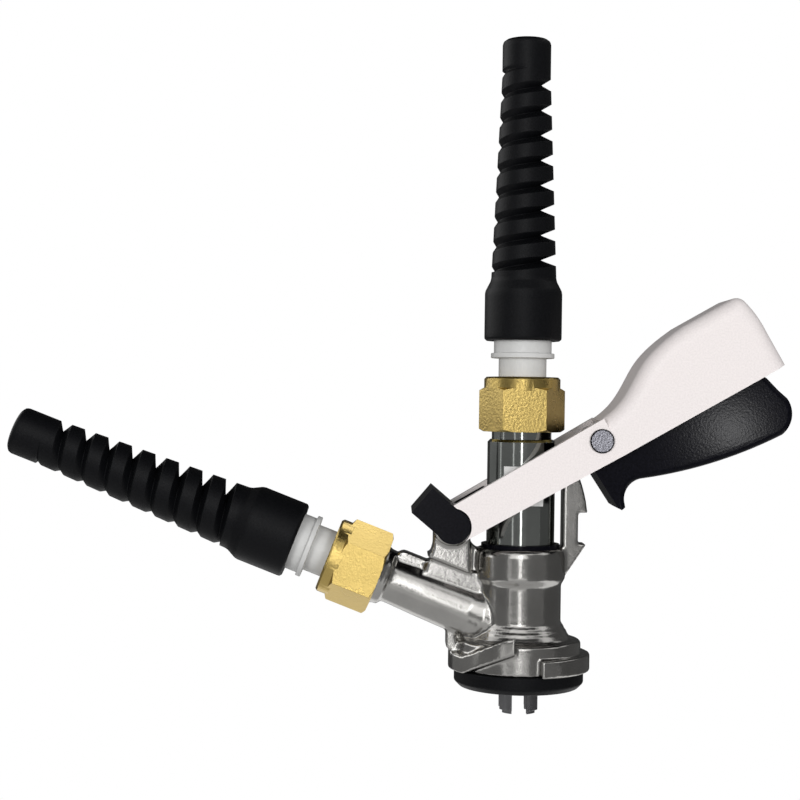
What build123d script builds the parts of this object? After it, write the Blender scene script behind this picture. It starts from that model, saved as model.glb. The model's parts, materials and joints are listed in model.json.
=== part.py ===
from build123d import *
import math
import os

# Keg coupler with a lever handle, a sliding probe, a gas arm and two hose ends.
# Z runs up the probe. The origin is on that axis, at the seal's lower face.
# X points to the handle and -X to the gas arm, and the hinge pins lie along Y.

# ---- cast body ----
seal_r = 23.4
seal_height = 6.4
seal_neck_height = 3.2
flange_r = 22.3
flange_height = 10.8
lug_r = 25.6
lug_height = 6.2
lug_span = 158.0
lug_start = 105.0
ramp_span = 48.0
ramp_angle = 22.0
hub_r = 18.3
hub_height = 5.6
hub_steps = 3
barrel_r = 15.0
barrel_height = 16.6
collar_r = 16.4
collar_height = 11.0
chamber_r = 9.6
chamber_top = 24.0
bush_wall = 1.6
bush_depth = 4.0
bush_lip = 1.2

# ---- gas arm ----
arm_angle = 21.0
arm_height = 20.0
arm_reach = 54.5
arm_root_r = 9.8
arm_waist_r = 9.2
arm_neck_r = 8.7
arm_ring = 1.6
ridge_height = 11.5
ridge_half_width = 4.5
pad_height = 13.4
pad_half_width = 6.5
gas_bore_r = 3.6
stop_half_width = 5.0
stop_wall = 2.0
stop_inner_x = -15.0
stop_outer_x = -26.6
stop_foot_z = 12.4

# ---- probe ----
sleeve_r = 12.3
sleeve_bottom = 38.6
sleeve_top = 89.3
sleeve_clearance = 0.3
bush_clearance = 0.1
stem_r = 7.4
stem_bore_r = 4.5
stem_fit = 0.05
prong_length = 7.4
prong_reach = 9.4
prong_gap = 5.3
neck_r = 10.8
neck_height = 2.7
ball_r = 4.9
ball_room_r = 6.0
ball_seat_drop = 4.0
ball_lift = 3.0
oring_wire_r = 0.9
trunnion_r = 2.6
shoe_width = 14.0
shoe_gap = 0.35

# ---- hose ends, the same on the gas arm and on the probe ----
thread_r = 11.2
thread_height = 12.0
thread_clearance = 0.1
washer_height = 1.5
washer_bore_r = 6.5
nut_flats = 27.0
nut_hex_height = 15.8
nut_height = 19.8
nut_collar_r = 13.8
nut_chamfer = 1.6
adapter_r = 8.65
adapter_ring_r = 11.5
adapter_ring_height = 1.8
adapter_ring_place = 26.6
adapter_head_r = 10.45
adapter_head_height = 15.6
adapter_foot_height = 2.0
barb_r = 3.4
barb_bore_r = 2.3
barb_ridge = 0.5
barb_length = 16.0
relief_place = 32.9
relief_length = 109.0
relief_base_r = 14.0
relief_base_height = 17.6
relief_waist_r = 11.8
relief_tip_r = 8.8
relief_tip_height = 13.4
relief_bore_r = 4.75
relief_room_r = 5.2
relief_room_top = 28.0
groove_count = 8
groove_pitch = 9.05
groove_tilt = 13.0
groove_near_width = 4.4
groove_far_width = 2.6
groove_wall = 0.7
groove_far_depth = 1.3

# ---- lever ----
hinge_x = -25.0
hinge_z = 58.4
lever_angle = 30.0
lever_travel = 28.0
lever_half_width = 17.5
arm_gap = 13.2
arm_start = 6.6
arm_half_height = 6.4
lever_end = 131.0
lever_floor = -7.4
lever_crown = 22.0
shell_wall = 2.6
crown_start = 64.0
crown_full = 106.0
crown_round = 6.0
end_round = 4.0
slot_clearance = 0.75
slot_floor = 1.7
hinge_pin_r = 2.5
hinge_eye_r = 7.1
hinge_eye_half_width = 11.0
hinge_lug_reach = 6.6
hinge_lug_half_width = 9.5
web_half_width = 4.5
pin_clearance = 0.05
knuckle_r = 6.1
knuckle_gap = 0.3
knuckle_proud = 0.2
knuckle_cap = 1.6
tail_angle = 110.0
tail_reach = 14.4
tail_width = 11.4
tongue_reach = 17.0

# ---- trigger and catch ----
pivot_u = 60.6
pivot_v = 0.8
pivot_pin_r = 2.5
pivot_head_r = 4.3
pivot_head_height = 1.0
trigger_half_width = arm_gap - 0.3
trigger_boss_r = 5.0
trigger_end = 126.2
trigger_depth = 29.0
trigger_wall = 2.4
trigger_round = 2.2
catch_arc_r = 49.0
catch_inner_x = 14.9
catch_notch_x = 20.5
catch_top = 77.0
catch_lip_z = 63.2
catch_ledge_z = 51.9
catch_foot_z = 41.0
catch_half_width = 5.0
tooth_gap = 0.4
tooth_height = 2.8
spring_wire_r = 0.55
spring_coil_r = 3.2
spring_turns = 3

flange_top = seal_height + flange_height
hub_top = flange_top + hub_height
barrel_top = hub_top + barrel_height
collar_top = barrel_top + collar_height
bore_r = sleeve_r + sleeve_clearance
beer_datum = sleeve_top + neck_height
pad_end = -(hinge_x - hinge_lug_reach) / math.cos(math.radians(arm_angle)) + 6.5
probe_travel = -hinge_x * (math.tan(math.radians(lever_angle))
                           - math.tan(math.radians(lever_angle - lever_travel)))
trunnion_z = hinge_z - hinge_x * math.tan(math.radians(lever_angle))
lever_frame = Location((hinge_x, 0, hinge_z), (0, -lever_angle, 0))
arm_direction = Vector(-math.cos(math.radians(arm_angle)), 0, math.sin(math.radians(arm_angle)))
gas_frame = Plane(origin=(0, 0, arm_height), z_dir=arm_direction,
                  x_dir=(math.sin(math.radians(arm_angle)), 0, math.cos(math.radians(arm_angle))))
gas_end = gas_frame * Pos(0, 0, arm_reach)
beer_end = Pos(0, 0, beer_datum)


def turned(*points):
    """Solid of revolution about Z from points given as radius and height."""
    return revolve(make_face(Plane.XZ * Polyline(*points, close=True)), Axis.Z)


def tube(outer_r, inner_r, low, high):
    return turned((inner_r, low), (outer_r, low), (outer_r, high), (inner_r, high))


def rod(radius, low, high):
    return Pos(0, 0, low) * Cylinder(radius, high - low, align=(Align.CENTER, Align.CENTER, Align.MIN))


def cross_rod(radius, half_length, x=0, z=0):
    return Pos(x, 0, z) * Rot(90, 0, 0) * Cylinder(radius, 2 * half_length)


def slab(outline, half_width):
    """Plate across Y from an outline of one or more curves in the XZ plane."""
    curves = outline if isinstance(outline, list) else [outline]
    return extrude(make_face([Plane.XZ * curve for curve in curves]), half_width, both=True)


def both_sides(outline, inner, outer):
    """Two plates, one each side of the XZ plane."""
    return slab(outline, outer) - Box(500, 2 * inner, 500)


def bayonet_lug(start):
    """One ear of the flange: a level band that climbs in a ramp at its end."""
    top = seal_height + lug_height
    level = sector(seal_height, top, start, lug_span - ramp_span)
    rise = 2 * lug_r * math.tan(math.radians(ramp_angle))
    middle = start + lug_span - ramp_span / 2
    climb = slab(Polyline((-lug_r, seal_height), (0, seal_height), (lug_r, seal_height + rise / 2),
                          (lug_r, top + rise / 2), (0, top), (-lug_r, top), close=True), lug_r)
    reach = lug_r * math.sin(math.radians(ramp_span / 2))
    climb = Pos(0, -lug_r, 0) * Pos(-reach, 0, 0) * climb
    ramp = sector(seal_height, top + rise, middle - ramp_span / 2, ramp_span)
    return level + (ramp & Rot(0, 0, middle + 90) * climb)


def sector(low, high, start, span):
    """Part of the ring that the ears are cut from, over a span below a half turn."""
    ring = tube(lug_r, flange_r - 1.0, low, high)
    for edge, side in ((start, -1), (start + span, 1)):
        ring -= Rot(0, 0, edge) * Pos(0, side * 2 * lug_r, 0) * Box(4 * lug_r, 4 * lug_r, 200)
    return ring


def body_shell():
    """Turned outside of the casting, from the flange to the collar."""
    step_r = (hub_r - barrel_r) / hub_steps
    step_z = hub_height / hub_steps
    outline = [(0, seal_height), (flange_r, seal_height), (flange_r, flange_top - 0.8), (flange_r - 0.8, flange_top)]
    for number in range(hub_steps):
        low = flange_top + number * step_z
        outline += [(hub_r - number * step_r, low + 0.4), (hub_r - number * step_r, low + step_z - 0.7),
                    (hub_r - number * step_r - 0.6, low + step_z)]
    outline += [(barrel_r, hub_top + 0.6), (barrel_r, barrel_top - 2.4), (collar_r, barrel_top),
                (collar_r, collar_top - 2.8), (collar_r - 0.5, collar_top - 1.2), (collar_r - 1.6, collar_top),
                (0, collar_top)]
    return turned(*outline)


def gas_arm():
    """Arm with its neck and threaded spigot, a ridge on top and the pad of the hinge."""
    spigot = arm_reach + thread_height
    arm = turned(
        (0, 0), (arm_root_r + 1.2, 0), (arm_root_r + 1.2, barrel_r), (arm_root_r, barrel_r + 5),
        (arm_waist_r, arm_reach - 16), (arm_neck_r, arm_reach - 6), (arm_neck_r, arm_reach - 3.6),
        (arm_neck_r + arm_ring, arm_reach - 2.8), (arm_neck_r + arm_ring, arm_reach - 1.0),
        (thread_r, arm_reach + 0.4), (thread_r, spigot - 0.8), (thread_r - 0.8, spigot), (0, spigot))
    ridge = Polyline((0, barrel_r), (ridge_height, barrel_r), (ridge_height, arm_reach - 5),
                     (ridge_height - 1.2, arm_reach - 3.6), (0, arm_reach - 3.6), close=True)
    pad = Polyline((0, barrel_r), (pad_height + 1, barrel_r), (pad_height, pad_end - 3), (ridge_height, pad_end),
                   (0, pad_end), close=True)
    return gas_frame * (arm + slab(ridge, ridge_half_width) + slab(pad, pad_half_width))


def hinge_lug():
    """Upright with the hinge eye, its flared heel on the pad and a web to the barrel."""
    near_x = hinge_x + hinge_lug_reach
    far_x = hinge_x - hinge_lug_reach
    ledge_z = collar_top - 1.0
    upright = Polyline((near_x, hinge_z), (near_x, pad_top(near_x)), (far_x - 2.4, pad_top(far_x - 2.4)),
                       (far_x - 0.8, pad_top(far_x) + 1.6), (far_x, pad_top(far_x) + 4.5), (far_x, hinge_z),
                       close=True)
    web = [Line((near_x - 1, ledge_z + 5), (near_x, ledge_z + 4)),
           ThreePointArc((near_x, ledge_z + 4), (near_x + 1.4, ledge_z + 1.4), (near_x + 4, ledge_z)),
           Polyline((near_x + 4, ledge_z), (-barrel_r + 2, ledge_z), (-barrel_r + 2, arm_height),
                    (near_x - 1, arm_height), (near_x - 1, ledge_z + 5))]
    return (slab(upright, hinge_lug_half_width) + slab(web, web_half_width) +
            cross_rod(hinge_eye_r, hinge_eye_half_width, hinge_x, hinge_z))


def pad_top(x):
    """Height of the pad's upper face above a place along X."""
    lean = math.radians(arm_angle)
    return arm_height - x * math.tan(lean) + pad_height / math.cos(lean) - 0.2


def stop_rib():
    """Rib under the gas arm, with a pocket in each side and a round nose."""
    top_z = arm_height - stop_outer_x * math.tan(math.radians(arm_angle)) - arm_root_r + 4
    outline = Polyline((stop_inner_x, stop_foot_z), (stop_outer_x + stop_wall, stop_foot_z),
                       (stop_outer_x, stop_foot_z + stop_wall), (stop_outer_x, top_z), (stop_inner_x, top_z),
                       close=True)
    room = Polyline((stop_inner_x, stop_foot_z + stop_wall), (stop_outer_x + 2 * stop_wall, stop_foot_z + stop_wall),
                    (stop_outer_x + 1.6 * stop_wall, top_z - 4), (stop_inner_x, top_z - 6), close=True)
    return slab(outline, stop_half_width) - both_sides(room, stop_wall / 2, stop_half_width + 1)


def catch_post():
    """Post with the notch that the trigger's tooth drops into."""
    lip_x = hinge_x + math.sqrt(catch_arc_r ** 2 - (catch_lip_z - hinge_z) ** 2)
    top_x = hinge_x + math.sqrt(catch_arc_r ** 2 - (catch_top - hinge_z) ** 2)
    middle_z = (catch_top + catch_lip_z) / 2
    middle_x = hinge_x + math.sqrt(catch_arc_r ** 2 - (middle_z - hinge_z) ** 2)
    ledge_x = hinge_x + math.sqrt(catch_arc_r ** 2 - (catch_ledge_z - hinge_z) ** 2)
    outline = [ThreePointArc((top_x, catch_top), (middle_x, middle_z), (lip_x, catch_lip_z)),
               Polyline((lip_x, catch_lip_z), (catch_notch_x, catch_lip_z), (catch_notch_x, catch_ledge_z),
                        (ledge_x, catch_ledge_z), (collar_r, catch_foot_z), (catch_inner_x - 1, catch_foot_z),
                        (catch_inner_x - 1, collar_top - 3), (catch_inner_x, collar_top - 3),
                        (catch_inner_x, catch_top - 2), (catch_inner_x + 2, catch_top), (top_x, catch_top))]
    return slab(outline, catch_half_width)


def coupler_body():
    body = body_shell() + gas_arm() + hinge_lug() + catch_post() + stop_rib()
    body += bayonet_lug(lug_start) + bayonet_lug(lug_start + 180)
    body -= rod(bore_r, chamber_top, collar_top + 50)
    body -= rod(chamber_r, 0, chamber_top + 1)
    body -= rod(bore_r + bush_wall, collar_top - bush_depth, collar_top + 1)
    body -= gas_frame * rod(gas_bore_r, 0, arm_reach + thread_height + 1)
    body -= gas_end * rod(washer_bore_r, thread_height - 9, thread_height + 1)
    body -= cross_rod(hinge_pin_r + pin_clearance, 50, hinge_x, hinge_z)
    return body


def bottom_seal():
    inner = stem_r + 0.6
    neck = chamber_r - 0.05
    ring = turned((inner, 0), (seal_r - 2, 0), (seal_r, 2), (seal_r, seal_height),
                  (neck, seal_height), (neck, seal_height + seal_neck_height),
                  (inner, seal_height + seal_neck_height))
    return ring


def guide_bush():
    inner = sleeve_r + bush_clearance
    outer = bore_r + bush_wall - 0.05
    return turned((inner, collar_top - bush_depth), (outer, collar_top - bush_depth), (outer, collar_top),
                  (outer, collar_top + bush_lip), (inner + 0.8, collar_top + bush_lip), (inner, collar_top + 0.4))


def gas_check_valve():
    """Rubber duckbill in the mouth of the gas arm, its lips towards the body."""
    seat = washer_bore_r - 0.1
    low = thread_height - 9
    return gas_end * turned(
        (1.0, low + 0.6), (2.2, low + 0.6), (4.6, low + 6), (seat, low + 6.4), (seat, thread_height),
        (4.4, thread_height), (3.4, low + 5.4))


def ring(centre_r, wire_r, place):
    """Ring of eight-sided wire about Z."""
    flat = wire_r * math.tan(math.radians(22.5))
    corners = [(wire_r, -flat), (wire_r, flat), (flat, wire_r), (-flat, wire_r),
               (-wire_r, flat), (-wire_r, -flat), (-flat, -wire_r), (flat, -wire_r)]
    return turned(*[(centre_r + across, place + up) for across, up in corners])


def oring(place):
    return ring(sleeve_r + sleeve_clearance / 2 - oring_wire_r, oring_wire_r, place)


def groove(place):
    floor = sleeve_r + sleeve_clearance / 2 - 2 * oring_wire_r - 0.02
    return tube(sleeve_r + 1, floor, place - oring_wire_r - 0.05, place + oring_wire_r + 0.05)


def oring_places():
    return sleeve_bottom + 2.2, sleeve_bottom + 5.2


def probe_sleeve():
    spigot = beer_datum + thread_height
    sleeve = turned(
        (stem_r + stem_fit, sleeve_bottom), (sleeve_r - 0.6, sleeve_bottom), (sleeve_r, sleeve_bottom + 0.6),
        (sleeve_r, sleeve_top - 1), (sleeve_r - 1, sleeve_top), (neck_r, sleeve_top),
        (neck_r, beer_datum), (thread_r, beer_datum + 0.4), (thread_r, spigot - 0.8), (thread_r - 0.8, spigot),
        (ball_room_r, spigot), (ball_room_r, sleeve_top - ball_seat_drop + 0.05),
        (stem_r + stem_fit, sleeve_top - ball_seat_drop + 0.05))
    for place in oring_places():
        sleeve -= groove(place)
    return sleeve - cross_rod(trunnion_r - 0.6, 50, 0, trunnion_z) + tube(stem_r + 2, stem_r + stem_fit,
                                                                        trunnion_z - 4, trunnion_z + 4)


def probe_stem():
    stem = tube(stem_r, stem_bore_r, -prong_reach, sleeve_top - ball_seat_drop)
    stem -= tube(stem_r + 1, stem_r - 0.9, -prong_reach - 1, -prong_reach + 1.2)
    slot = Pos(0, 0, -prong_reach - 1) * Box(40, prong_gap, prong_length + 1,
                                             align=(Align.CENTER, Align.CENTER, Align.MIN))
    return stem - slot - Rot(0, 0, 90) * slot


def probe_trunnions():
    tip = lever_half_width - slot_floor - 0.4
    pin = Pos(0, 0, trunnion_z) * Rot(-90, 0, 0) * (
        rod(trunnion_r, sleeve_r + 0.25, tip) + rod(trunnion_r - 0.65, stem_r + 2.05, sleeve_r + 1)
        - Rot(90, 0, 0) * rod(sleeve_r, -9, 9) + rod(trunnion_r - 0.65, stem_r + 2.05, sleeve_r + 1))
    return Compound(children=[pin, mirror(pin, Plane.XZ)])


def trunnion_shoes():
    """Square slide shoe on each trunnion, curved to the sleeve inside and flat outside."""
    outer = arm_gap - shoe_gap
    shoes = Pos(0, 0, trunnion_z) * Box(shoe_width, 2 * outer, shoe_width)
    shoes -= rod(sleeve_r, 0, trunnion_z + shoe_width) + cross_rod(trunnion_r, outer + 1, 0, trunnion_z)
    return Compound(children=list(shoes.solids()))


def check_ball():
    rise = math.sqrt((ball_r + 0.05) ** 2 - stem_bore_r ** 2)
    return Pos(0, 0, sleeve_top - ball_seat_drop + rise) * Sphere(ball_r)


def union_nut():
    """Hexagon nut with a turned collar and chamfered corners."""
    corner_r = nut_flats / math.sqrt(3)
    hexagon = extrude(RegularPolygon(corner_r, 6), nut_hex_height)
    lathe = turned((0, 0), (corner_r - nut_chamfer, 0), (corner_r, nut_chamfer * 0.58),
                   (corner_r, nut_hex_height - nut_chamfer * 0.58), (corner_r - nut_chamfer, nut_hex_height),
                   (0, nut_hex_height))
    collar = turned((0, nut_hex_height - 1), (nut_collar_r, nut_hex_height - 1), (nut_collar_r, nut_height - 0.8),
                    (nut_collar_r - 0.8, nut_height), (0, nut_height))
    foot_top = thread_height + washer_height + adapter_foot_height
    nut = (hexagon & lathe) + collar
    return nut - rod(thread_r + thread_clearance, -1, foot_top + 0.1) - rod(adapter_r + 0.25, 0, nut_height + 1)


def washer():
    return tube(thread_r - 0.4, washer_bore_r, thread_height, thread_height + washer_height)


def adapter():
    """White plastic adapter: foot under the nut, body, ring and head in the relief."""
    foot = thread_height + washer_height
    ring_top = adapter_ring_place + adapter_ring_height
    head_top = ring_top + adapter_head_height
    return turned(
        (barb_r + 0.05, foot), (thread_r - 0.3, foot), (thread_r - 0.3, foot + adapter_foot_height),
        (adapter_r, foot + adapter_foot_height), (adapter_r, adapter_ring_place),
        (adapter_ring_r, adapter_ring_place), (adapter_ring_r, ring_top), (adapter_head_r, ring_top),
        (adapter_head_r, head_top - 0.8), (adapter_head_r - 0.8, head_top), (barb_r + 0.05, head_top))


def hose_barb():
    """Metal tube through the adapter, with barbs for the hose."""
    foot = thread_height + washer_height
    head_top = adapter_ring_place + adapter_ring_height + adapter_head_height
    points = [(barb_bore_r, foot), (barb_r, foot), (barb_r, head_top + 1)]
    ridge_pitch = (barb_length - 1) / 4
    for number in range(4):
        low = head_top + 1 + number * ridge_pitch
        points += [(barb_r + barb_ridge, low + 0.3), (barb_r, low + ridge_pitch - 0.1)]
    points += [(barb_bore_r, points[-1][1])]
    return turned(*points)


def relief_radius(height):
    """Outside radius of the grooved length, at a height above the base."""
    start = relief_base_height + 4.5
    share = (height - start) / (relief_length - relief_tip_height - start)
    return relief_waist_r + (relief_tip_r - relief_waist_r) * share


def bend_relief():
    """Black sleeve that keeps the hose from kinking, with slanted grooves."""
    shoulder = relief_base_height + 4.5
    tip = relief_length - relief_tip_height
    head_depth = adapter_ring_place + adapter_ring_height + adapter_head_height - relief_place + 0.1
    sleeve = turned(
        (adapter_head_r + 0.05, 0), (relief_base_r - 0.6, 0), (relief_base_r, 0.6),
        (relief_base_r, relief_base_height), (relief_waist_r, shoulder), (relief_tip_r, tip),
        (relief_tip_r, relief_length - 1.5), (relief_tip_r - 1.2, relief_length),
        (relief_bore_r, relief_length), (relief_bore_r, relief_room_top), (relief_room_r, relief_room_top),
        (relief_room_r, head_depth), (adapter_head_r + 0.05, head_depth))
    first = relief_length - relief_tip_height - 3.0 - (groove_count - 1) * groove_pitch + 2.1
    for number in range(groove_count):
        height = first + number * groove_pitch
        outer = relief_radius(height)
        near = relief_bore_r + groove_wall
        far = outer - groove_far_depth
        wedge = slab(Polyline((-outer - 3, -groove_far_width / 2), (outer + 3, -groove_near_width / 2),
                              (outer + 3, groove_near_width / 2), (-outer - 3, groove_far_width / 2), close=True),
                     outer + 3)
        core = Pos((near - far) / 2, 0, 0) * rod((near + far) / 2, -groove_near_width, groove_near_width)
        sleeve -= Pos(0, 0, height) * Rot(0, groove_tilt, 0) * (wedge - core)
    return Pos(0, 0, relief_place) * sleeve


def crown_outline(inset, front, floor):
    """Side outline of the grip in the lever's own frame, with its hinge at 0, 0."""
    end = lever_end - inset
    crown = lever_crown - inset
    shoulder = arm_half_height + 1.0 - inset
    start = crown_start + inset
    return [Spline((start, shoulder), (crown_full - 18, crown - 4.2), (crown_full, crown),
                   tangents=[(1, 0.05), (1, 0.1)]),
            Line((crown_full, crown), (end - 2.5, crown)),
            ThreePointArc((end - 2.5, crown), (end - 0.4, crown - 8), (end, arm_half_height)),
            Polyline((end, arm_half_height), (end, floor), (front, floor), (front, shoulder), (start, shoulder))]


def solid_grip():
    """Grip before it is hollowed, with its crown and its end rounded."""
    end = [Polyline((crown_start, arm_half_height + 1.0), (crown_start, lever_floor), (lever_end, lever_floor),
                    (lever_end, arm_half_height)),
           ThreePointArc((lever_end, arm_half_height), (lever_end - 0.4, lever_crown - 8), (lever_end - 2.5, lever_crown)),
           Line((lever_end - 2.5, lever_crown), (crown_full, lever_crown)),
           Spline((crown_full, lever_crown), (crown_full - 18, lever_crown - 4.2), (crown_start, arm_half_height + 1.0),
                  tangents=[(-1, -0.1), (-1, -0.05)])]
    grip = slab(end, lever_half_width)
    corner = grip.edges().filter_by(Axis.Y).sort_by(lambda edge: edge.center().X + edge.center().Z)[-1]
    grip = fillet(corner, end_round)
    rim = [edge for edge in grip.edges() if abs(abs(edge.center().Y) - lever_half_width) < 0.01
           and edge.center().Z > arm_half_height + 1.2]
    return fillet(rim, crown_round)


def knuckle_tail(grow=0.0):
    """Block behind the hinge, in the lever's own frame."""
    width = tail_width + 2 * grow
    return Rot(0, -tail_angle, 0) * (Pos(tail_reach / 2, 0, 0) * Box(tail_reach, 2 * (lever_half_width + knuckle_proud), width))


def lever_handle():
    """Light shell: a hollow grip, open below, and two arms that run to the hinge."""
    grip = solid_grip() - slab(crown_outline(shell_wall, crown_start - 3, lever_floor - 40),
                               lever_half_width - shell_wall)
    arm = Polyline((0, -arm_half_height), (crown_start + 1, lever_floor), (crown_start + 1, arm_half_height + 1.0),
                   (0, arm_half_height), close=True)
    handle = grip + both_sides(arm, arm_gap, lever_half_width)
    handle -= cross_rod(arm_start, 50) + knuckle_tail(0.1)
    handle -= Pos(-50, 0, 0) * Box(100, 100, 100)
    slot_r = trunnion_r + slot_clearance
    nearest = -hinge_x / math.cos(math.radians(lever_angle - lever_travel))
    furthest = -hinge_x / math.cos(math.radians(lever_angle))
    slot = both_sides(Polyline((nearest - 0.4, -slot_r), (furthest + 0.4, -slot_r), (furthest + 0.4, slot_r),
                               (nearest - 0.4, slot_r), close=True), 0.1, lever_half_width - slot_floor)
    for reach in (nearest - 0.4, furthest + 0.4):
        slot += cross_rod(slot_r, lever_half_width - slot_floor, reach)
    handle -= slot
    handle -= cross_rod(pivot_pin_r + 0.02, 50, pivot_u, pivot_v)
    return handle


def hinge_knuckle():
    """Black end block: two cheeks on the pin, tongues in the arms and a tail."""
    outer = lever_half_width + knuckle_proud
    inner = hinge_eye_half_width + knuckle_gap
    cheeks = cross_rod(knuckle_r, outer) - cross_rod(knuckle_r + 1, inner)
    tongue = Polyline((0, -arm_half_height + 1), (tongue_reach, -arm_half_height + 1),
                      (tongue_reach, arm_half_height - 1), (0, arm_half_height - 1), close=True)
    cheeks += both_sides(tongue, inner, arm_gap - 0.05)
    tail = knuckle_tail() - cross_rod(hinge_eye_r + knuckle_gap, inner)
    return cheeks + tail - cross_rod(hinge_pin_r, outer - knuckle_cap)


def hinge_pin():
    return cross_rod(hinge_pin_r, lever_half_width + knuckle_proud - knuckle_cap)


def trigger_pin():
    pin = cross_rod(pivot_pin_r, lever_half_width + pivot_head_height, pivot_u, pivot_v)
    heads = cross_rod(pivot_head_r, lever_half_width + pivot_head_height, pivot_u, pivot_v)
    return pin + (heads - cross_rod(pivot_head_r + 1, lever_half_width, pivot_u, pivot_v))


def trigger():
    """Black grip that turns on the trigger pin, with a finger hook and a tooth."""
    end, deep = trigger_end, trigger_depth
    front = pivot_u - 7.0
    outline = [Polyline((front, -4), (front, -8.4), (front + 0.8, 6.1 - deep), (front + 1.6, 4.6 - deep),
                        (front + 3.2, 4.8 - deep), (front + 3.8, 6.1 - deep)),
               ThreePointArc((front + 3.8, 6.1 - deep), (front + 6.4, 9.8 - deep), (front + 13.9, 10.6 - deep)),
               ThreePointArc((front + 13.9, 10.6 - deep), (end - 30.6, 2.6 - deep), (end - 8, -deep)),
               ThreePointArc((end - 8, -deep), (end - 2.4, 3 - deep), (end, 10.5 - deep)),
               Polyline((end, 10.5 - deep), (end - 1.4, -14.5), (end - 2.8, -9), (end - 6, -4), (pivot_u + 9.4, 2),
                        (pivot_u - 3.6, 4.4),
                        (front, -4))]
    grip = slab(outline, trigger_half_width)
    rim = [edge for edge in grip.edges() if abs(abs(edge.center().Y) - trigger_half_width) < 0.01
           and edge.center().Z < -9.5 and edge.center().X > pivot_u + 5]
    grip = fillet(rim, trigger_round)
    grip += cross_rod(trigger_boss_r, trigger_half_width, pivot_u, pivot_v)
    room = Polyline((pivot_u + 15.4, -6), (end - 6, 15 - deep), (end - 6, -5.5), (end - 9, -3), (pivot_u + 15.4, 4),
                    close=True)
    grip -= slab(room, trigger_half_width - trigger_wall)
    tooth_tip = catch_arc_r + tooth_gap
    low = lever_floor + 0.3
    tooth = Polyline((tooth_tip, low + 0.6), (tooth_tip + 1.2, low), (front + 1.4, low),
                     (front + 1.4, low + tooth_height), (tooth_tip, low + tooth_height), close=True)
    grip += slab(tooth, catch_half_width - 0.5)
    spring_room = spring_half_length() + 0.3
    grip -= cross_rod(spring_coil_r + spring_wire_r + 0.5, spring_room, pivot_u, pivot_v)
    leg_room = Polyline((pivot_u - 1, pivot_v), (pivot_u + 14, pivot_v), (pivot_u + 14, pivot_v + 12),
                        (pivot_u - 1, pivot_v + 12), close=True)
    grip -= slab(leg_room, spring_room)
    return grip - cross_rod(pivot_pin_r + pin_clearance, 50, pivot_u, pivot_v)


def spring_half_length():
    return spring_turns * spring_wire_r * 1.9 / 2


def trigger_spring():
    """Torsion spring round the trigger pin, with one leg up against the shell."""
    pitch = spring_wire_r * 1.9
    coil = rod(spring_wire_r, 0, 10)
    coil = Pos(0, 0, spring_coil_r) * Rot(0, 90, 0) * coil
    for number in range(spring_turns):
        place = (number - (spring_turns - 1) / 2) * pitch
        coil += Rot(90, 0, 0) * ring(spring_coil_r, spring_wire_r, place)
    return Pos(pivot_u, 0, pivot_v) * coil


def save(name, shape):
    shape.label = name
    export_step(shape, f"parts/{name}.step")


os.makedirs("parts", exist_ok=True)
save("coupler_body", coupler_body())
save("bottom_seal", bottom_seal())
save("guide_bush", guide_bush())
save("gas_check_valve", gas_check_valve())
save("probe_sleeve", probe_sleeve())
save("probe_stem", probe_stem())
save("probe_trunnions", probe_trunnions())
save("trunnion_shoes", trunnion_shoes())
save("beer_check_ball", check_ball())
for name, place in zip(("probe_lower_oring", "probe_upper_oring"), oring_places()):
    save(name, oring(place))
for side, frame in (("gas", gas_end), ("beer", beer_end)):
    save(f"{side}_nut", frame * union_nut())
    save(f"{side}_washer", frame * washer())
    save(f"{side}_adapter", frame * adapter())
    save(f"{side}_hose_barb", frame * hose_barb())
    save(f"{side}_bend_relief", frame * bend_relief())
save("lever_handle", lever_frame * lever_handle())
save("hinge_knuckle", lever_frame * hinge_knuckle())
save("hinge_pin", lever_frame * hinge_pin())
save("trigger_pin", lever_frame * trigger_pin())
save("trigger_spring", lever_frame * trigger_spring())
save("trigger", lever_frame * trigger())
print("probe travel", round(probe_travel, 3), "trunnion height", round(trunnion_z, 3))
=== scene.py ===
import json
import math
import bmesh
import bpy
import numpy as np
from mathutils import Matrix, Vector


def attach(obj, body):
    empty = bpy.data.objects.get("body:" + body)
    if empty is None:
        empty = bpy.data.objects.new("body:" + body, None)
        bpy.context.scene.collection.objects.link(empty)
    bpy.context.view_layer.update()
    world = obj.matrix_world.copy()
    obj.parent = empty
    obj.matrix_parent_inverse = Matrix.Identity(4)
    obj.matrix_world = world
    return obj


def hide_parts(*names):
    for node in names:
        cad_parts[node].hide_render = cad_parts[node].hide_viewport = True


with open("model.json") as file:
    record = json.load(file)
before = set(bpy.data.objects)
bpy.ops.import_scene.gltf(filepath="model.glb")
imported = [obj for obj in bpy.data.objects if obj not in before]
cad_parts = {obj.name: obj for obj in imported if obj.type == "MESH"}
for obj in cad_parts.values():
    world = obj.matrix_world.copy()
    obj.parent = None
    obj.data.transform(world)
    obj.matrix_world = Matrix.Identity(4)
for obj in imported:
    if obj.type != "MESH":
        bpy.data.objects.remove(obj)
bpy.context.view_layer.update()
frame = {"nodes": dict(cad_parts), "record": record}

# ---- The view ----
# The camera stands level with the middle of the coupler and looks straight along the hinge pins,
# so the near arm of the lever hides the far one.
mm = 0.001
view_distance = 575 * mm
view_width = 290.4 * mm
camera_data = bpy.data.cameras.new("studio_camera")
camera_data.sensor_width = 36.0
camera_data.lens = 36.0 * view_distance / view_width
camera_data.clip_start = 0.01
camera = bpy.data.objects.new("studio_camera", camera_data)
camera.location = (-44.3 * mm, -view_distance, 102.9 * mm)
camera.rotation_euler = (math.radians(90), math.radians(-0.8), 0)
bpy.context.scene.collection.objects.link(camera)
bpy.context.scene.camera = camera

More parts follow.
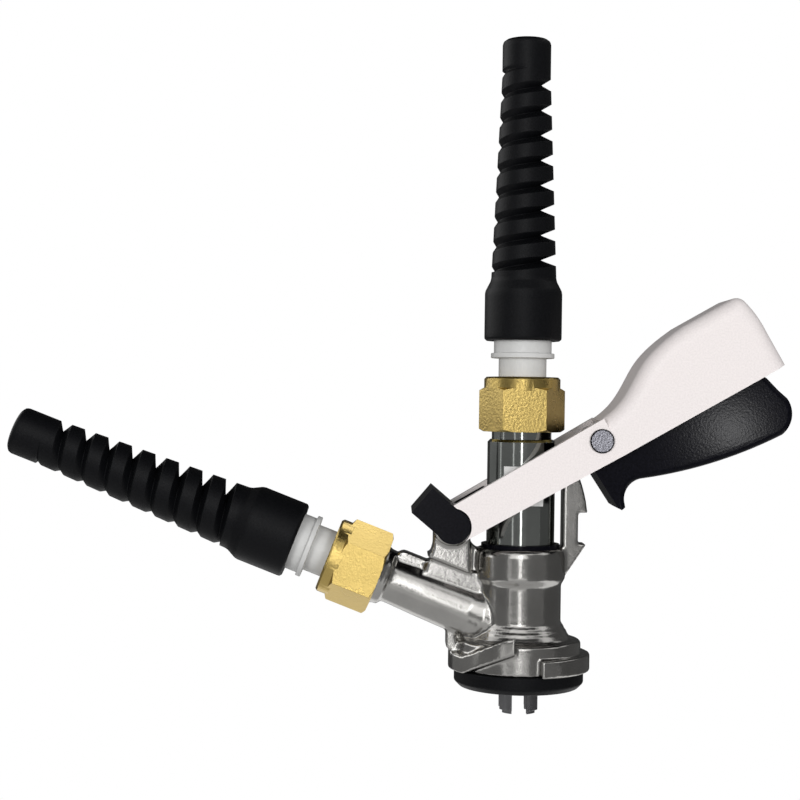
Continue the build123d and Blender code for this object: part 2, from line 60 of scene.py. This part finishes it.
# ---- The room ----
# The coupler hangs free in a white room. Two soft lamps in front light it, and large cards of one
# grey each stand around it, which only mirrors see, and give the bright metal its bands.


def grid_mesh(name, points, close_u=False, close_v=False):
    """Mesh of the points, an array of rows by columns by 3: each cell of the grid is one face.
    close_u joins the last column to the first, and close_v the last row to the first."""
    rows, columns = points.shape[:2]
    row = np.arange(rows if close_v else rows - 1)[:, None]
    column = np.arange(columns if close_u else columns - 1)[None, :]
    below, above = row * columns, ((row + 1) % rows) * columns
    after = (column + 1) % columns
    corners = [below + column, below + after, above + after, above + column]
    quads = np.stack(corners, axis=-1).reshape(-1, 4)
    mesh = bpy.data.meshes.new(name)
    mesh.from_pydata(points.reshape(-1, 3).tolist(), [], quads.tolist())
    mesh.shade_smooth()
    piece = bpy.data.objects.new(name, mesh)
    bpy.context.scene.collection.objects.link(piece)
    return piece


def white_room(daylight):
    """World that is white to the eye and in mirrors, and lights plain surfaces at one level."""
    world = bpy.data.worlds.new("white_room")
    world.use_nodes = True
    nodes, link = world.node_tree.nodes, world.node_tree.links.new
    rays = nodes.new("ShaderNodeLightPath")
    seen = nodes.new("ShaderNodeMath")
    seen.operation = "MAXIMUM"
    link(rays.outputs["Is Camera Ray"], seen.inputs[0])
    mirrored = nodes.new("ShaderNodeMath")
    mirrored.operation = "MAXIMUM"
    link(rays.outputs["Is Glossy Ray"], mirrored.inputs[0])
    link(rays.outputs["Is Transmission Ray"], mirrored.inputs[1])
    link(mirrored.outputs[0], seen.inputs[1])
    strength = nodes.new("ShaderNodeMapRange")
    strength.inputs["To Min"].default_value = daylight
    link(seen.outputs[0], strength.inputs["Value"])
    link(strength.outputs["Result"], nodes["Background"].inputs["Strength"])
    nodes["Background"].inputs["Color"].default_value = (1, 1, 1, 1)
    bpy.context.scene.world = world


middle = (0, 0, 0.1)


def aimed(piece, place, target):
    """Puts a lamp or a card at a place, with its -Z axis at the target."""
    piece.location = place
    line = Vector(target) - Vector(place)
    piece.rotation_euler = line.to_track_quat("-Z", "Y").to_euler()


def mirror_card(name, place, width, height, grey):
    """Flat card turned to the coupler, of one grey, that only mirrors see."""
    across, up = np.meshgrid([-width / 2, width / 2], [-height / 2, height / 2])
    piece = grid_mesh(name, np.stack([across, up, 0 * up], axis=-1))
    aimed(piece, place, middle)
    paint = bpy.data.materials.new(name + "_paint")
    paint.use_nodes = True
    shader = paint.node_tree.nodes["Principled BSDF"]
    shader.inputs["Base Color"].default_value = (0, 0, 0, 1)
    shader.inputs["Roughness"].default_value = 1
    shader.inputs["Specular IOR Level"].default_value = 0
    shader.inputs["Emission Color"].default_value = (grey, grey, grey, 1)
    shader.inputs["Emission Strength"].default_value = 1
    piece.data.materials.append(paint)
    piece.visible_camera = piece.visible_diffuse = piece.visible_shadow = False


def soft_lamp(name, place, width, height, power, mirrored=True, only=()):
    """Soft lamp with a rectangular face, turned to the coupler. Mirrors see it or not, and it can
    be kept to a few pieces."""
    lamp = bpy.data.lights.new(name, "AREA")
    lamp.shape = "RECTANGLE"
    lamp.size, lamp.size_y = width, height
    lamp.energy = power
    piece = bpy.data.objects.new(name, lamp)
    aimed(piece, place, middle)
    piece.visible_glossy = mirrored
    bpy.context.scene.collection.objects.link(piece)
    if only:
        lit = bpy.data.collections.new(name + "_pieces")
        for target in only:
            lit.objects.link(target)
        piece.light_linking.receiver_collection = lit


white_room(0.30)
mirror_card("card_left", (-0.85, -0.62, 0.15), 0.85, 1.5, 0.18)
mirror_card("card_right", (0.66, -0.80, 0.15), 0.95, 1.5, 0.17)
mirror_card("card_far_right", (1.05, 0.40, 0.15), 2.4, 1.5, 0.10)
mirror_card("card_line", (0.53, -0.93, 0.15), 0.045, 1.2, 1.3)
mirror_card("card_far_left_low", (-1.05, 0.35, -0.32), 1.4, 1.04, 0.20)
mirror_card("card_far_left_high", (-1.05, 0.35, 0.51), 1.3, 0.78, 1.8)
mirror_card("card_back", (0.0, 1.15, 0.27), 2.2, 1.75, 0.05)
mirror_card("card_above", (0.0, 0.10, 1.15), 1.8, 1.9, 0.015)
mirror_card("card_below", (0.0, -0.25, -0.9), 1.8, 1.8, 0.50)
mirror_card("card_lens_high", (-0.10, -1.25, 0.58), 1.1, 0.74, 1.5)
mirror_card("card_lens", (-0.10, -1.25, 0.02), 1.1, 0.38, 0.20)
mirror_card("card_lens_low", (-0.10, -1.25, -0.49), 1.1, 0.64, 0.60)
mirror_card("card_flange", (-0.02, -1.15, -0.20), 0.42, 0.09, 1.3)
soft_lamp("lamp_front", (-0.05, -1.15, 0.30), 0.09, 0.9, 1.1)
soft_lamp("lamp_left", (-0.60, -1.00, 0.22), 0.40, 0.40, 5.1, mirrored=False)
soft_lamp("lamp_right", (0.55, -1.00, 0.22), 0.40, 0.40, 5.4, mirrored=False)
bpy.context.scene.view_settings.view_transform = "Standard"

# ---- Cast body ----
# The body is one casting, tumbled smooth and nickel plated, so it keeps a slight skin
# of the mould under a bright plate.


def new_finish(name):
    """A material with its Principled shader, and a function that adds and sets nodes."""
    material = bpy.data.materials.new(name)
    material.use_nodes = True
    tree = material.node_tree
    shader = tree.nodes["Principled BSDF"]

    def add(kind, **values):
        node = tree.nodes.new(kind)
        for key, value in values.items():
            if key in node.inputs:
                node.inputs[key].default_value = value
            else:
                setattr(node, key, value)
        return node

    return material, tree.links.new, shader, add


def plated_casting(name, colour, roughness, skin, skin_scale):
    """Bright metal whose colour and roughness drift a little, over a fine cast skin."""
    darkest, smoothest, roughest = 0.86, 0.75, 1.3
    material, link, shader, add = new_finish(name)
    shader.inputs["Metallic"].default_value = 1.0
    place = add("ShaderNodeTexCoord")
    drift = add("ShaderNodeTexNoise", Scale=90.0, Detail=3.0)
    link(place.outputs["Object"], drift.inputs["Vector"])
    tint = add("ShaderNodeValToRGB")
    tint.color_ramp.elements[0].position = 0.3
    tint.color_ramp.elements[1].position = 0.7
    tint.color_ramp.elements[0].color = (*[c * darkest for c in colour], 1)
    tint.color_ramp.elements[1].color = (*colour, 1)
    link(drift.outputs["Fac"], tint.inputs["Fac"])
    link(tint.outputs["Color"], shader.inputs["Base Color"])
    gloss = add("ShaderNodeMapRange")
    gloss.inputs["To Min"].default_value = roughness * smoothest
    gloss.inputs["To Max"].default_value = roughness * roughest
    link(drift.outputs["Fac"], gloss.inputs["Value"])
    link(gloss.outputs["Result"], shader.inputs["Roughness"])
    skin_noise = add("ShaderNodeTexNoise", Scale=skin_scale, Detail=2.0)
    link(place.outputs["Object"], skin_noise.inputs["Vector"])
    bump = add("ShaderNodeBump", Strength=skin, Distance=0.0003)
    link(skin_noise.outputs["Fac"], bump.inputs["Height"])
    link(bump.outputs["Normal"], shader.inputs["Normal"])
    return material


record = frame["record"]
body_of = {node: body for body, nodes in record["behaviour"]["bodies"].items() for node in nodes}


def joined_copy(name, material):
    """Copy of a CAD node with its loose triangles joined, which takes the node's place."""
    mesh = frame["nodes"][name].data.copy()
    solid = bmesh.new()
    solid.from_mesh(mesh)
    bmesh.ops.remove_doubles(solid, verts=solid.verts, dist=0.001 * mm)
    solid.to_mesh(mesh)
    solid.free()
    mesh.materials.clear()
    mesh.materials.append(material)
    piece = bpy.data.objects.new(name + "_finished", mesh)
    bpy.context.scene.collection.objects.link(piece)
    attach(piece, body_of[name])
    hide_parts(name)
    return piece


def softened(name, material, grid, passes):
    """Node rebuilt on a fine cubic grid and smoothed, so that its corners run into each other."""
    piece = joined_copy(name, material)
    remesh = piece.modifiers.new("even_skin", "REMESH")
    remesh.mode = "VOXEL"
    remesh.voxel_size = grid
    remesh.use_smooth_shade = True
    smooth = piece.modifiers.new("soft_corners", "SMOOTH")
    smooth.factor = 0.5
    smooth.iterations = passes
    return piece


body_grid = 0.55 * mm
nickel = plated_casting("plated_nickel", (0.50, 0.49, 0.47), 0.19, 0.13, 700.0)
softened("coupler_body", nickel, body_grid, 5)

# ---- Probe ----
# The sleeve is drawn tube, turned and polished, and the stem inside it ends in four prongs
# that open the keg's valve. The pins, the spring, the ball and the hose barbs are turned steel too.


def dress(material, *names):
    """Gives a material to every slot of the named CAD nodes."""
    for name in names:
        mesh = frame["nodes"][name].data
        mesh.materials.clear()
        mesh.materials.append(material)


def eased(name, material, width, corner=34):
    """Node with its flat faces merged and its sharp corners rounded by a width."""
    piece = joined_copy(name, material)
    flat = piece.modifiers.new("flat_faces", "DECIMATE")
    flat.decimate_type = "DISSOLVE"
    flat.angle_limit = math.radians(0.6)
    bevel = piece.modifiers.new("eased_corners", "BEVEL")
    bevel.width = width
    bevel.segments = 3
    bevel.limit_method = "ANGLE"
    bevel.angle_limit = math.radians(corner)
    shading = piece.modifiers.new("flat_shading", "WEIGHTED_NORMAL")
    shading.weight = 100
    piece.data.shade_smooth()
    return piece


polished = plated_casting("polished_tube", (0.44, 0.46, 0.44), 0.10, 0.05, 400.0)
eased("probe_sleeve", polished, 0.3 * mm)
turned_steel = plated_casting("turned_steel", (0.36, 0.36, 0.37), 0.28, 0.2, 1200.0)
eased("probe_stem", turned_steel, 0.3 * mm)
dress(turned_steel, "probe_trunnions", "hinge_pin", "trigger_spring", "gas_hose_barb",
      "beer_hose_barb", "beer_check_ball")

# ---- Union nuts ----
# Brass hexagon nuts, sawn from bar and turned at the ends, left bare, so the flats are dull
# and the turned collar is brighter. Two lamps light the lower nut alone, whose flats would
# otherwise mirror the dark cards.
brass = plated_casting("bare_brass", (0.64, 0.47, 0.155), 0.28, 0.28, 1100.0)
gas_nut = eased("gas_nut", brass, 0.45 * mm, 20)
eased("beer_nut", brass, 0.45 * mm, 20)
soft_lamp("lamp_nut_front", (-0.10, -1.15, -0.08), 0.26, 0.20, 0.28, only=[gas_nut])
soft_lamp("lamp_nut_above", (0.24, 0.49, 0.87), 0.40, 0.40, 1.1, only=[gas_nut])

# ---- Plastic and rubber ----
# The knuckle, grip, bush, seal and reliefs are black, the adapters and slide shoes are white, and
# the handle is painted. A small lamp puts a soft shine on the middle of the grip alone.


def moulded(name, colour, roughness, grain, grain_scale, specks=0.0, gloss=0.5):
    """Moulded plastic or rubber: one colour with faint specks, over a fine grain."""
    material, link, shader, add = new_finish(name)
    place = add("ShaderNodeTexCoord")
    noise = add("ShaderNodeTexNoise", Scale=grain_scale, Detail=4.0)
    link(place.outputs["Object"], noise.inputs["Vector"])
    tint = add("ShaderNodeValToRGB")
    tint.color_ramp.elements[0].position = 0.35
    tint.color_ramp.elements[1].position = 0.65
    tint.color_ramp.elements[0].color = (*[c * (1 - specks) for c in colour], 1)
    tint.color_ramp.elements[1].color = (*[min(1, c * (1 + specks)) for c in colour], 1)
    link(noise.outputs["Fac"], tint.inputs["Fac"])
    link(tint.outputs["Color"], shader.inputs["Base Color"])
    shader.inputs["Roughness"].default_value = roughness
    shader.inputs["Specular IOR Level"].default_value = gloss
    bump = add("ShaderNodeBump", Strength=grain, Distance=0.0002)
    link(noise.outputs["Fac"], bump.inputs["Height"])
    link(bump.outputs["Normal"], shader.inputs["Normal"])
    return material


white_plastic = moulded("white_plastic", (0.60, 0.60, 0.59), 0.36, 0.1, 600.0, 0.02)
for name in ("gas_adapter", "beer_adapter", "trunnion_shoes"):
    eased(name, white_plastic, 0.3 * mm)
black_plastic = moulded("black_plastic", (0.003, 0.003, 0.005), 0.22, 0.20, 1300.0, 0.3, 0.08)
grip = eased("trigger", black_plastic, 0.5 * mm)
soft_lamp("lamp_grip", (0.0995, -0.138, 0.092), 0.008, 0.008, 0.036, only=[grip])
eased("hinge_knuckle", black_plastic, 0.5 * mm)
dress(black_plastic, "guide_bush")
black_rubber = moulded("black_rubber", (0.003, 0.0032, 0.004), 0.46, 0.35, 1500.0, 0.2, 0.16)
eased("bottom_seal", black_rubber, 0.5 * mm)
dress(black_rubber, "gas_washer", "beer_washer", "gas_check_valve", "probe_lower_oring",
      "probe_upper_oring", "gas_bend_relief", "beer_bend_relief")
pale_paint = moulded("pale_shell_paint", (0.84, 0.785, 0.775), 0.42, 0.25, 1600.0, 0.04, 0.3)
dress(pale_paint, "lever_handle")
pin_steel = plated_casting("pin_head_steel", (0.42, 0.42, 0.47), 0.35, 0.6, 1500.0)
pin = eased("trigger_pin", pin_steel, 0.7 * mm)
# Painted shade: the bevelled rims of its two heads get the black plastic, which stands in for the
# dark ring of shade around each head.
pin.data.materials.append(black_plastic)
pin.modifiers["eased_corners"].material = 1

# ---- Bend reliefs ----
# Each is a moulded rubber sleeve over the white adapter, tapered, and cut by one helical groove
# that is deep on its outer side, so that the hose can bend but not kink.
relief_length = 109.0


def relief_surface(axis, mouth, outward):
    """Outer skin and bore of one relief as a closed profile turned about its axis.
    The radius follows the profile, less a V groove whose centre rises one pitch a turn, and whose
    depth changes with the cosine of the angle from the outward side."""
    base_r, waist_r, tip_r, bore_r, mouth_r = 14.0, 11.8, 8.8, 4.75, 10.5
    cup_top, cup_depth, waist_start, taper_end = 17.0, 11.0, 22.6, 95.6
    pitch, first, half_width, turns_cut = 9.05, 29.5, 2.1, 7.5
    shallow, wall, margin = 1.3, 0.7, 0.2
    height = np.concatenate([
        [0.0, 0.25, 0.6], np.linspace(1.2, cup_top, 12), np.linspace(17.4, 23.0, 20),
        np.linspace(23.2, 97.5, 520), np.linspace(98, 107.2, 8),
        [107.8, 108.3, 108.7, relief_length]])
    knots = [0.0, 0.6, 1.2, cup_top, 18.2, 21.4, waist_start, taper_end, 107.4, 108.4,
             relief_length]
    radii = [base_r - 0.8, base_r - 0.1, base_r, base_r, base_r - 0.25, waist_r + 0.3, waist_r,
             tip_r, tip_r, tip_r - 0.4, tip_r - 1.3]
    radius = np.interp(height, knots, radii)[:, None]
    angle = np.linspace(0, 2 * math.pi, 144, endpoint=False)[None, :]
    rise = height[:, None] - first
    turns = rise / pitch - angle / (2 * math.pi)
    offset = np.abs(turns - np.round(turns)) * pitch
    running = (rise > -pitch / 2 - margin) & (rise < turns_cut * pitch + margin)
    deepest = radius - (bore_r + wall)
    share = (1 + np.cos(angle)) / 2
    depth = shallow + (deepest - shallow) * share
    outer = radius - np.clip(1 - offset / half_width, 0, 1) * depth * running
    tail = np.array([bore_r + 0.5, bore_r, bore_r])[:, None] * np.ones_like(angle)
    head = np.array([mouth_r, mouth_r])[:, None] * np.ones_like(angle)
    radius_all = np.concatenate([head, outer, tail])
    height_all = np.concatenate([[cup_depth, 0.0], height,
                                 [relief_length, relief_length - 0.5, cup_depth]])
    side = np.cross(axis, outward)
    ring = np.cos(angle)[..., None] * outward + np.sin(angle)[..., None] * side
    foot = mouth - axis * (relief_length * mm)
    return foot + (height_all[:, None, None] * axis + radius_all[..., None] * ring) * mm


mounts = {mount["name"]: mount for mount in record["mounts"]}
for side_name, body in (("gas", "body"), ("beer", "probe")):
    mount = mounts[side_name + "_hose_bore"]
    axis = np.array(mount["axis"], float)
    outward = np.cross([0.0, 1.0, 0.0], axis)
    points = relief_surface(axis, np.array(mount["pos_m"], float), outward)
    relief = grid_mesh(side_name + "_ribbed_relief", points, close_u=True, close_v=True)
    relief.data.materials.append(black_rubber)
    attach(relief, body)
    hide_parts(side_name + "_bend_relief")
